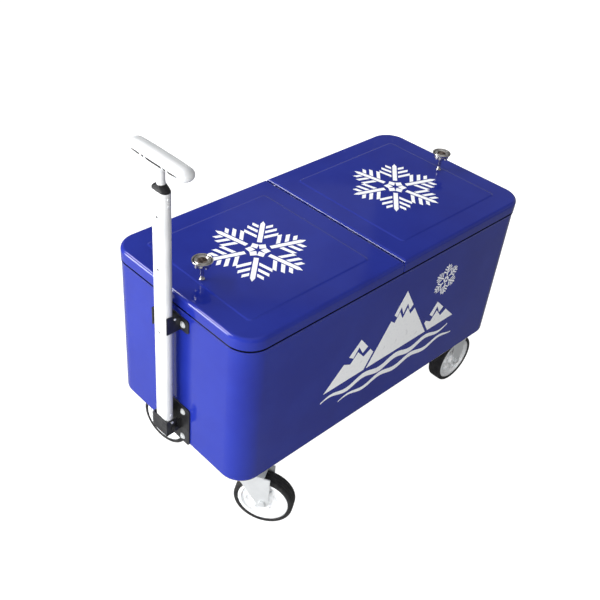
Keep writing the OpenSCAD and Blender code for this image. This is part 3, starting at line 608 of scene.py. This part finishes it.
def peak(apex_u, apex_v, left, right, base_v, cap_drop, teeth):
    """A mountain as two shapes: a snow cap with a zigzag hem, and the slope below it."""
    def flank(share, side):
        return (apex_u + (side - apex_u) * share, apex_v + (base_v - apex_v) * share)

    fall = cap_drop / (apex_v - base_v)
    l0, r0 = flank(fall, left), flank(fall, right)
    hem = []
    for k in range(1, 2 * teeth):
        share = k / (2 * teeth)
        u = l0[0] + (r0[0] - l0[0]) * share
        hem.append((u, l0[1] - 0.010 if k % 2 else l0[1] + 0.012))
    cap = [(apex_u, apex_v), l0, *hem, r0]
    gap = 0.012
    fall_low = (cap_drop + gap) / (apex_v - base_v)
    l1, r1 = flank(fall_low, left), flank(fall_low, right)
    slope = [l1, (left, base_v), (right, base_v), r1]
    slope += [(l1[0] + (r1[0] - l1[0]) * (1 - k / (2 * teeth)), v - gap)
              for k, (u, v) in enumerate(reversed(hem), 1)]
    return [cap, slope]


def wave(v, start, stop, crest, length, thick, steps=56):
    """A tapering wavy band from start to stop."""
    top, low = [], []
    for k in range(steps + 1):
        share = k / steps
        u = start + (stop - start) * share
        swing = v + crest * math.sin(2 * math.pi * (u - start) / length)
        half = thick / 2 * math.sin(math.pi * min(max(share, 0.02), 0.98)) ** 0.5
        top.append((u, swing + half))
        low.append((u, swing - half))
    return top + low[::-1]


def behind(shape, foot, apex, hand, gap=0.008):
    """The part of shape that stays clear, by a gap, of a flank that runs from foot to apex.

    hand is 1 if the shape lies on the +u side of the flank, -1 if on the other."""
    def clear(point):
        flank = foot[0] + (point[1] - foot[1]) * (apex[0] - foot[0]) / (apex[1] - foot[1])
        return hand * (point[0] - flank) - gap

    kept = []
    for start, end in zip(shape, shape[1:] + shape[:1]):
        before, after = clear(start), clear(end)
        if before >= 0:
            kept.append(start)
        if before * after < 0:
            share = before / (before - after)
            kept.append((start[0] + (end[0] - start[0]) * share, start[1] + (end[1] - start[1]) * share))
    return kept


def side_scene():
    """The large side graphic: three peaks, a snowflake for a moon, and two bands of water."""
    apex, left_foot, right_foot = (0.020, 0.212), (-0.075, 0.058), (0.115, 0.058)
    shapes = peak(*apex, left_foot[0], right_foot[0], left_foot[1], 0.048, 3)
    for shape in peak(-0.105, 0.150, -0.200, -0.030, 0.058, 0.030, 2):
        shapes.append(behind(shape, left_foot, apex, -1))
    for shape in peak(0.140, 0.128, 0.085, 0.212, 0.058, 0.026, 2):
        shapes.append(behind(shape, right_foot, apex, 1))
    shapes += snowflake(0.040, 0.152, 0.182)
    shapes.append(wave(0.036, -0.205, 0.200, 0.0055, 0.100, 0.0150))
    shapes.append(wave(0.009, -0.150, 0.222, 0.0050, 0.100, 0.0120))
    return shapes


def graphics():
    """Prints a snowflake on each lid and the scene on the long side."""
    panel_z = LID_HI.z
    for side, cx, tilt in (("left", -0.200, 0.0), ("right", 0.204, 180.0)):
        shapes = snowflake(0.104, cx, 0.003, tilt + 12)
        print_shapes(f"{side}_lid_print", shapes, lambda u, v, h: (u, v, panel_z + h), f"{side}_lid")
    wall_y, foot_z = TUB_LO.y, TUB_LO.z + 0.064
    print_shapes("side_print", side_scene(), lambda u, v, h: (u + 0.010, wall_y - h, foot_z + v), "tub")


# ---------------------------------------------------------------- knobs

KNOB_CORE = 0.0122
KNOB_PRONGS = 8
STEM_R = 0.0036


def prong_lobes(turn, radius):
    """Cuts a radius back to the knob's core between its prongs."""
    lobe = smooth(-0.15, 0.35, math.cos(KNOB_PRONGS * turn))
    return min(radius, KNOB_CORE) + max(radius - KNOB_CORE, 0) * lobe


def knob(side):
    """Chrome knob: cap with a grooved and dished face, eight prongs under it, slim stem and a foot."""
    lo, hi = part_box(f"{side}_knob_cap")
    centre = Vector(((lo.x + hi.x) / 2, (lo.y + hi.y) / 2, LID_HI.z))
    top = hi.z - LID_HI.z
    rim = (hi.x - lo.x) / 2

    def turned_piece(name, profile, steps, replaced=(), slot="chrome", crease=60, ripple=None, finish=None):
        bm = bmesh.new()
        lathe(bm, profile, centre, (0, 0, 1), steps, ripple)
        piece(f"{side}_knob_{name}", bm, slot, f"{side}_lid", replaced, crease, finish)

    # outer and band: (down from the top, in from the rim); the others: (down from the top, radius)
    outer = ((0.0040, 0.0022), (0.0034, 0.0006), (0.0024, 0), (0.0009, 0), (0.0002, 0.0004), (0, 0.0011),
             (0.0002, 0.0018), (0.0020, 0.0024), (0.0024, 0.0034), (0.0020, 0.0044), (0.0003, 0.0051),
             (0, 0.0058), (0.0001, 0.0078), (0.0005, 0.0086), (0.0013, 0.0094))
    inner = ((0.0017, 0.0096), (0.0021, 0.0075), (0.0024, 0.0050), (0.0026, 0.0025), (0.0026, 0.0001))
    cap = [(top - 0.0040, 0.0001)]
    cap += [(top - down, rim - inset) for down, inset in outer]
    cap += [(top - down, radius) for down, radius in inner]
    turned_piece("face", cap, 64, [f"{side}_knob_cap"])

    # The black ring in the cap's groove is painted shade: it stands for the dark that the chrome groove shows.
    band = ((0.0030, 0.0044), (0.0016, 0.0043), (0.0017, 0.0034), (0.0016, 0.0025), (0.0030, 0.0024))
    groove = [(top - down, rim - inset) for down, inset in band]
    turned_piece("groove", groove, 64, slot="black_plastic")

    bowl = ((0.0020, 0.0001), (0.0020, 0.0030), (0.0019, 0.0060), (0.0016, 0.0082), (0.0014, 0.0088),
            (0.0024, 0.0090))
    dish = [(top - down, radius) for down, radius in bowl]
    # the dish takes the chrome with painted reflection
    turned_piece("dish", dish, 64, finish=PAINTED_REFLECTION_CHROME)

    under = ((0.0140, 0.0001), (0.0140, 0.0118), (0.0139, 0.0150), (0.0134, 0.0161), (0.0125, 0.0165),
             (0.0045, 0.0165), (0.0036, 0.0160), (0.0034, 0.0001))
    crown = [(top - down, radius) for down, radius in under]
    turned_piece("prongs", crown, 160, crease=50, ripple=prong_lobes)

    stem = [(-0.0050, 0.0030), (0.0, 0.0030), (0.0, 0.0052), (0.0004, 0.0055), (0.0016, 0.0055),
            (0.0021, 0.0051), (0.0024, 0.0044), (0.0030, 0.0037), (0.0120, STEM_R), (0.0220, STEM_R),
            (top - 0.0165, 0.0040), (top - 0.0138, 0.0052)]
    turned_piece("post", stem, 40, [f"{side}_knob_stem"])


# ---------------------------------------------------------------- wheels

TYRE_HALF = 0.016
WHEEL_R = 0.0625
SHOULDER_R = 0.0042
TREAD_GROOVES = (0.0100, 0.0036)
TREAD_DEPTH = 0.0009
HUB_R = 0.053
HUB_BORE = 0.0041
WEB_HALF = 0.0092
RIM_HALF = 0.0150
BOSS_HALF = 0.0172
POCKETS = 6
POCKET_R = 0.0305
POCKET_ALONG = 0.0078
POCKET_ACROSS = 0.0105
POCKET_DEPTH = 0.0055


def tyre(name, body, centre, axis):
    """Rubber band with flat walls, a raised ring, round shoulders and four tread grooves."""
    wall = [(0.0135, HUB_R - 0.0006), (0.0156, HUB_R + 0.0004), (0.0160, HUB_R + 0.0014),
            (0.0160, HUB_R + 0.0026), (0.0157, HUB_R + 0.0034)]
    for k in range(7):
        turn = math.radians(90 * k / 6)
        wall.append((TYRE_HALF - SHOULDER_R * (1 - math.cos(turn)) - 0.0002,
                     WHEEL_R - 0.0004 - SHOULDER_R * (1 - math.sin(turn))))
    for groove in TREAD_GROOVES:
        edge = WHEEL_R - 0.0003 * groove / TREAD_GROOVES[0]
        wall += [(groove + 0.0010, edge), (groove + 0.0006, edge - TREAD_DEPTH),
                 (groove - 0.0006, edge - TREAD_DEPTH), (groove - 0.0010, edge)]
    wall.append((0.0, WHEEL_R))
    profile = [(-along, radius) for along, radius in wall] + wall[-2::-1]
    bm = bmesh.new()
    lathe(bm, profile, centre, axis, 128, capped=False)
    return even_normals(piece(f"{name}_band", bm, "tyre_rubber", body, [name], 45))


def hub_height(radius, turn):
    """How far the hub's face stands from its middle plane."""
    rim = smooth(0.0440, 0.0462, radius)
    boss = 1 - smooth(0.0142, 0.0168, radius)
    web = WEB_HALF + 0.0008 * (1 - smooth(0.017, 0.021, radius))
    face = web + (RIM_HALF - web) * rim + (BOSS_HALF - web) * boss
    sector = 2 * math.pi / POCKETS
    off = (turn + sector / 2) % sector - sector / 2
    along, across = radius - POCKET_R, radius * math.sin(off)
    oval = math.sqrt((along / POCKET_ALONG) ** 2 + (across / POCKET_ACROSS) ** 2)
    face -= POCKET_DEPTH * (1 - smooth(0.84, 1.06, oval))
    face -= 0.0008 * smooth(0.0505, 0.0515, radius)
    return face


def hub(name, body, centre, axis):
    """Moulded hub: raised rim, web with six oval pockets, boss round the axle."""
    axis, side, across = triad(axis)
    radii = [HUB_BORE, 0.0100, 0.0136, 0.0142, 0.0148, 0.0155, 0.0162, 0.0168, 0.0180, 0.0195, 0.0208]
    radii += [0.0216 + 0.00075 * k for k in range(25)]
    radii += [0.0405, 0.0425, 0.0438, 0.0444, 0.0450, 0.0456, 0.0462, 0.0470, 0.0504, 0.0508, 0.0515,
              HUB_R - 0.0001]
    steps = 168
    bm = bmesh.new()
    for hand in (-1, 1):
        rings = []
        for radius in radii:
            ring = []
            for k in range(steps):
                turn = 2 * math.pi * k / steps
                spot = side * math.cos(turn) + across * math.sin(turn)
                ring.append(centre + spot * radius + axis * hand * hub_height(radius, turn))
            rings.append(ring)
        loft(bm, rings)
    return piece(f"{name}_face", bm, "hub_plastic", body, [name], 60)


def wheels():
    """Every caster's tyre and hub, placed on the axis of its own spin joint."""
    for corner in ("swivel_front", "swivel_back", "rigid_front", "rigid_back"):
        joint = joints[f"wheel_{corner}_spin"]
        centre, axis = Vector(joint["pos_m"]), joint["axis"]
        tyre(f"tyre_{corner}", f"wheel_{corner}", centre, axis)
        hub(f"hub_{corner}", f"wheel_{corner}", centre, axis)


# ---------------------------------------------------------------- handle

# shadow gaps along the grip: start and stop along Y, height at the start and at the stop
SLOTS = ((0.0, 0.0215, 0.0070, 0.0070), (0.0245, 0.0325, 0.0054, 0.0054), (0.0350, 0.0620, 0.0064, 0.0020))
SLOT_SHARE = 0.6
LEDGE_IN = 0.0034
GRIP_CAP = 0.015
GRIP_SLIMMING = 0.0006
FINGER_PITCH = 0.024
FINGER_DEPTH = 0.07


def grip_section(y):
    """(half depth, half height, drop) of the grip at a place along Y."""
    reach = abs(y)
    slimming = GRIP_SLIMMING * smooth(0.030, GRIP_HALF_LEN, reach)
    into_cap = max(reach - (GRIP_HALF_LEN - GRIP_CAP), 0) / GRIP_CAP
    close = math.sqrt(max(1 - into_cap * into_cap, 0))
    return (GRIP_HALF_D - slimming) * close, (GRIP_HALF_H - slimming) * close, slimming


def seam_drop(height):
    """How far the seam lies below the middle of a section with this half height."""
    return (GRIP_MID_Z - SEAM_Z) * height / GRIP_HALF_H


def slot_height(y, height):
    """Height of the shadow gap under the grip's upper half: one long slot and two pairs beside it."""
    for start, stop, first, last in SLOTS:
        share = (abs(y) - start) / (stop - start)
        if 0 <= share <= 1:
            fade = 1 - smooth(0.88, 1.0, share)
            if start:
                fade *= smooth(0.0, 0.12, share)
            return min((first + (last - first) * share) * fade, SLOT_SHARE * height)
    return 0.0


def grip_ring(y, upper):
    """Outline of half of the grip at a place along Y, from the +X seam round to the -X seam."""
    depth, height, drop = grip_section(y)
    low = seam_drop(height)
    slot = 0.0 if upper else slot_height(y, height)
    lip = math.asin(min((low + slot) / height, 1)) if height > 0 else 0
    start, stop = (-lip, math.pi + lip) if upper else (-lip, lip - math.pi)
    finger = 0.5 - 0.5 * math.cos(2 * math.pi * (abs(y) + 0.004) / FINGER_PITCH)
    finger *= 1 - smooth(0.052, 0.060, abs(y))
    outline = []
    steps = 36
    for k in range(steps + 1):
        share = k / steps
        turn = start + (stop - start) * share
        belly = 0 if upper else smooth(0.25, 0.40, share) * (1 - smooth(0.60, 0.75, share))
        reach = 1 - FINGER_DEPTH * belly * finger
        outline.append((depth * reach * math.cos(turn), height * reach * math.sin(turn)))
    if not upper:
        inner = depth * math.cos(lip)
        if slot > 0.0001:
            inner = max(inner - LEDGE_IN, 0.3 * depth)
        ledge = -(low + slot)
        outline = [(inner, -low), (inner, ledge)] + outline + [(-inner, ledge), (-inner, -low)]
    return [(TUBE_X + x, y, GRIP_MID_Z - drop + z) for x, z in outline]


def grip_shell(name, upper, replaced):
    """One half of the grip, lofted along Y with its stations closer together at the ends."""
    stations = 240
    rings = []
    for i in range(stations + 1):
        turn = math.pi * i / stations
        place = -GRIP_HALF_LEN * (0.6 * math.cos(turn) + 0.4 * (1 - 2 * i / stations))
        rings.append(grip_ring(place, upper))
    bm = bmesh.new()
    loft(bm, rings)
    bmesh.ops.remove_doubles(bm, verts=bm.verts, dist=2 * MERGE)
    return piece(name, bm, "white_plastic", "grip", [replaced], 40)


def painted_shade_strip(bm, from_y, to_y, side):
    """A dark strip of painted shade in one shadow gap, on the +X side of the grip or on the -X side."""
    stations = 49
    clearance = 0.0001
    thickness = 0.0020
    thinnest = 0.0005
    rings = []
    for i in range(stations):
        y = from_y + (to_y - from_y) * (i + 0.5) / stations
        depth, height, drop = grip_section(y)
        gap = slot_height(y, height)
        if gap < thinnest:
            continue
        low = seam_drop(height)
        brow = depth * math.cos(math.asin(low / height)) - 0.0005
        lip = depth * math.cos(math.asin((low + gap) / height)) - 0.0004
        root = lip - thickness
        top = GRIP_MID_Z - drop - low - clearance
        foot = GRIP_MID_Z - drop - low - gap + clearance
        section = ((root, top), (brow, top), (lip, foot), (root, foot))
        rings.append([(TUBE_X + side * x, y, z) for x, z in section])
    loft(bm, rings, cap_first=True, cap_last=True)


def painted_shade_strips():
    """Dark strips set into the shadow gaps, just inside the grip's surface: painted shade that darkens the gaps.
    """
    bm = bmesh.new()
    for start, stop, _, _ in SLOTS:
        spans = ((start, stop), (-stop, -start)) if start else ((-stop, stop),)
        for from_y, to_y in spans:
            for side in (-1, 1):
                painted_shade_strip(bm, from_y, to_y, side)
    # black plastic where the gaps only hold shadow: painted shade
    return piece("grip_painted_shade_strips", bm, "black_plastic", "grip", (), 40)


COLLAR_DEPTH = 0.020
COLLAR_NECK = 0.003
ROD_GAP = 0.0003


def tube_collar():
    """Moulded collar on the tube's mouth: an oval flange that rises to a round guide."""
    lo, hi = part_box("tube_collar")
    rod_lo, rod_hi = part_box("handle_rod")
    mouth = TUBE_HI.z
    height = hi.z - mouth
    deep, wide = hi.x - lo.x, hi.y - lo.y
    bore = rod_hi.y - rod_lo.y + ROD_GAP
    flange = ((COLLAR_NECK, -COLLAR_DEPTH), (COLLAR_NECK, 0.0), (0.0004, 0.0), (0, 0.0006), (0, 0.0022),
              (0.0008, 0.0031))
    levels = [(deep - less, wide - less, z) for less, z in flange]
    levels += [(0.0184, 0.0340, 0.0052), (0.0183, 0.0290, 0.0068), (0.0182, 0.0240, 0.0082),
               (0.0181, 0.0200, 0.0093), (0.0180, 0.0181, height - 0.0010),
               (0.0174, 0.01745, height - 0.0002), (0.0166, 0.01665, height)]
    levels += [(bore, bore + 0.00005, z) for z in (height, -COLLAR_DEPTH)]
    rings = [[(TUBE_X + x, y, mouth + z) for x, y in stadium(depth, width)] for depth, width, z in levels]
    bm = bmesh.new()
    loft(bm, rings)
    return piece("collar_moulding", bm, "black_plastic", "handle", ["tube_collar"], 40)


BRACKET_T = 0.003
CLIP_T = 0.002
WASHER_T = 0.0012
SHANK_R = 0.0030
SCREW_R = 0.0057
NUT_R = 0.0058
NUT_T = 0.005


def screw_head(bm, centre, axis, radius, height, socket=True):
    """Domed screw head standing on centre, with a hexagon socket."""
    dome = [(0.0, radius)]
    for k in range(1, 6):
        turn = math.radians(14 * k)
        dome.append((height * math.sin(turn) / math.sin(math.radians(70)), radius * math.cos(turn)))
    lathe(bm, dome, centre, axis, 32)
    if socket:
        axis, side, across = triad(axis)
        rim = radius * 0.42
        levels = ((rim * 1.18, height * 1.001), (rim, height * 0.96), (rim, height * 0.35))
        rings = [hexagon(centre + axis * along, side, across, reach) for reach, along in levels]
        loft(bm, rings, cap_last=True)


def wall_bolts():
    """Domed socket screws with washers on the bracket and the clip; their nuts are inside the wall."""
    wall = TUB_LO.x
    clip_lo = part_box("upper_clip")[0]
    foot_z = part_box("lower_bracket")[0].z
    bracket_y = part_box("bracket_bolts")[1].y - 0.006
    clip_arm = TUBE_HI.y + 0.0006 + CLIP_T
    inward, along_y, up = Vector((1, 0, 0)), Vector((0, 1, 0)), Vector((0, 0, 1))
    rows = ((wall - BRACKET_T, foot_z + 0.014, bracket_y), (wall - BRACKET_T, foot_z + 0.082, bracket_y),
            (wall - CLIP_T, clip_lo.z + 0.015, clip_arm + 0.0064))
    washer = ((0.0, 0.0066), (0.0004, 0.0070), (0.0009, 0.0070), (WASHER_T, 0.0066), (WASHER_T, SHANK_R))
    bm = bmesh.new()
    for face, z, reach in rows:
        for y in (-reach, reach):
            lathe(bm, washer, Vector((face, y, z)), -inward, 40)
            screw_head(bm, Vector((face - WASHER_T, y, z)), -inward, SCREW_R, 0.0030)
            shank = ((-0.0002, 0.0001), (-0.0002, SHANK_R), (wall - face + 0.009, SHANK_R))
            lathe(bm, shank, Vector((face, y, z)), inward, 20)
            nut_foot = Vector((wall + SHEET, y, z))
            nut = [hexagon(place, along_y, up, NUT_R) for place in (nut_foot, nut_foot + inward * NUT_T)]
            loft(bm, nut, cap_first=True, cap_last=True)
    for hand in (-1, 1):
        rivet = Vector((wall - 0.015, hand * clip_arm, clip_lo.z + 0.029))
        screw_head(bm, rivet, (0, hand, 0), 0.0026, 0.0014, socket=False)
    made = piece("wall_screws", bm, "zinc", "tub", ["bracket_bolts"], 40)
    return bevel(made, 0.0002, 1, 40)


graphics()
wall_bolts()
tub_shell()
for lid in ("left", "right"):
    lid_shell(lid)
    knob(lid)
wheels()
grip_shell("grip_top", True, "grip_upper")
grip_shell("grip_underside", False, "grip_lower")
painted_shade_strips()
tube_collar()


# ---------------------------------------------------------------- stage, lights, camera

def studio_floor():
    """A plain pale floor, which the camera sees nearly as bright as the backdrop."""
    bm = bmesh.new()
    half = 9.0
    loft(bm, [[(-half, -half, 0), (half, -half, 0)], [(-half, half, 0), (half, half, 0)]], closed=False)
    mesh = bpy.data.meshes.new("studio_floor")
    bm.to_mesh(mesh)
    bm.free()
    material, tree, shader = new_material("floor_white", (0.26, 0.26, 0.26), 0.7)
    tint(tree, shader, noise(tree, 1.2, 2), ((0.255, 0.255, 0.255), (0.265, 0.265, 0.265)))
    shader.inputs["Emission Color"].default_value = (1, 1, 1, 1)
    path = tree.nodes.new("ShaderNodeLightPath")
    glow = remap(tree, path.outputs["Is Camera Ray"], 0, 0.93, 0, 1)
    tree.links.new(glow, shader.inputs["Emission Strength"])
    mesh.materials.append(material)
    floor = bpy.data.objects.new("studio_floor", mesh)
    bpy.context.scene.collection.objects.link(floor)


def soft_box(name, place, aim, width, height, power, mirrored=True):
    """A rectangular soft box that the camera doesn't see, and that gloss shows only if mirrored."""
    data = bpy.data.lights.new(name, "AREA")
    data.shape = "RECTANGLE"
    data.size = width
    data.size_y = height
    data.energy = power
    light = bpy.data.objects.new(name, data)
    light.visible_camera = False
    light.visible_glossy = mirrored
    light.location = place
    light.rotation_mode = "QUATERNION"
    light.rotation_quaternion = (Vector(aim) - Vector(place)).to_track_quat("-Z", "Y")
    bpy.context.scene.collection.objects.link(light)


def high_light(direction, strength, softness):
    """Even, soft light from one direction, for the whole floor."""
    data = bpy.data.lights.new("high_light", "SUN")
    data.energy = strength
    data.angle = math.radians(softness)
    light = bpy.data.objects.new("high_light", data)
    light.visible_glossy = False
    light.rotation_mode = "QUATERNION"
    light.rotation_quaternion = Vector(direction).to_track_quat("-Z", "Y")
    bpy.context.scene.collection.objects.link(light)


def camera(eye, look, roll, lens, shift_x, shift_y):
    """The photograph's viewpoint."""
    data = bpy.data.cameras.new("camera")
    data.sensor_width = 36
    data.lens = lens
    data.shift_x = shift_x
    data.shift_y = shift_y
    made = bpy.data.objects.new("camera", data)
    bpy.context.scene.collection.objects.link(made)
    turn = Vector(look).to_track_quat("-Z", "Y").to_matrix().to_4x4()
    made.matrix_world = Matrix.Translation(eye) @ turn @ Matrix.Rotation(math.radians(roll), 4, "Z")
    bpy.context.scene.camera = made


def surroundings(backdrop, light):
    """A white backdrop; its light on the object is weaker, cloudy, and changes with height."""
    world = bpy.data.worlds.new("studio")
    world.use_nodes = True
    tree = world.node_tree
    seen = tree.nodes["Background"]
    seen.inputs["Color"].default_value = (1, 1, 1, 1)
    seen.inputs["Strength"].default_value = backdrop
    fill = tree.nodes.new("ShaderNodeBackground")
    place = tree.nodes.new("ShaderNodeTexCoord")
    split = tree.nodes.new("ShaderNodeSeparateXYZ")
    ramp = tree.nodes.new("ShaderNodeValToRGB")
    stops = ramp.color_ramp.elements
    stops.remove(stops[1])  # the stop that stays is black, for directions below the horizon
    for height, grey in ((0.0, 0.55), (0.25, 0.75), (0.55, 0.42), (0.75, 0.55), (0.95, 1.0)):
        stops.new(height).color = (grey, grey, grey, 1)
    tree.links.new(place.outputs["Generated"], split.inputs["Vector"])
    tree.links.new(split.outputs["Z"], ramp.inputs["Fac"])
    cloud = tree.nodes.new("ShaderNodeTexNoise")
    cloud.inputs["Scale"].default_value = 2.3
    cloud.inputs["Detail"].default_value = 1.0
    tree.links.new(place.outputs["Generated"], cloud.inputs["Vector"])
    tree.links.new(remap(tree, cloud.outputs["Fac"], 0.62 * light, 1.38 * light), fill.inputs["Strength"])
    tree.links.new(ramp.outputs["Color"], fill.inputs["Color"])
    path = tree.nodes.new("ShaderNodeLightPath")
    mix = tree.nodes.new("ShaderNodeMixShader")
    tree.links.new(path.outputs["Is Camera Ray"], mix.inputs["Fac"])
    tree.links.new(fill.outputs["Background"], mix.inputs[1])
    tree.links.new(seen.outputs["Background"], mix.inputs[2])
    tree.links.new(mix.outputs["Shader"], tree.nodes["World Output"].inputs["Surface"])
    bpy.context.scene.world = world


studio_floor()
surroundings(backdrop=1.0, light=0.5)
high_light(direction=(0.40, 0.35, -0.85), strength=0.8, softness=50)
soft_box("key", (-2.5, 0.1, 0.62), (-0.4, 0.0, 0.34), 1.9, 0.7, 66, False)
soft_box("edge", (-1.25, 1.15, 1.95), (-0.3, 0.0, 0.52), 1.6, 0.45, 28)
soft_box("rim", (-2.1, 1.5, 0.95), (-0.4, 0.0, 0.5), 0.9, 0.9, 40)
glow_place, glow_aim = (1.065, 1.10, 1.607), (-0.16, -0.03, 0.517)
soft_box("glow", glow_place, glow_aim, 0.30, 0.30, 0.06)
soft_box("wide_glow", glow_place, glow_aim, 0.66, 0.52, 0.17)
soft_box("back", (1.7, 1.5, 0.85), (-0.42, 0.0, 0.6), 1.3, 1.0, 34, False)
soft_box("side", (-1.8, -1.7, 0.9), (-0.2, -0.2, 0.33), 1.0, 1.0, 25, False)
camera(eye=(-1.1309, -0.9583, 1.4254), look=(0.55438, 0.56667, -0.60954), roll=4.02,
       lens=50.47, shift_x=0.0701, shift_y=0.0006)
bpy.context.scene.view_settings.view_transform = "Standard"
